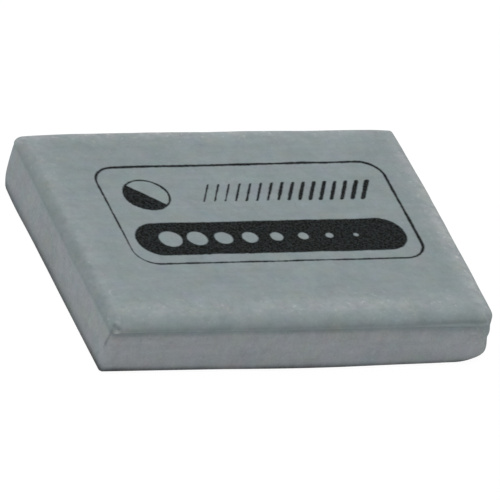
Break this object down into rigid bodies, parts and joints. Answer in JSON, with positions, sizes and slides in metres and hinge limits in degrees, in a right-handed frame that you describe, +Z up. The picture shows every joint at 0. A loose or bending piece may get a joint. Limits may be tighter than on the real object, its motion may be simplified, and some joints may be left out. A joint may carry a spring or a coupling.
{
  "type": "kneaded eraser",
  "caption": "Soft grey putty slab with a rolled top edge, a shallow crease round its sides and a plain framed print on its top face.",
  "frame": {"origin": "middle of the flat base, on the surface that the block lies on", "axes": "+X along the length, +Y across the width towards the back edge, +Z up through the thickness to the printed face"},
  "size_m": [0.0454, 0.0344, 0.0066],
  "materials": {
    "putty": "matte, slightly greasy grey putty, with thin black print on the top face"
  },
  "bodies": {
    "root": {"eraser_block": "putty"}
  },
  "joints": []
}
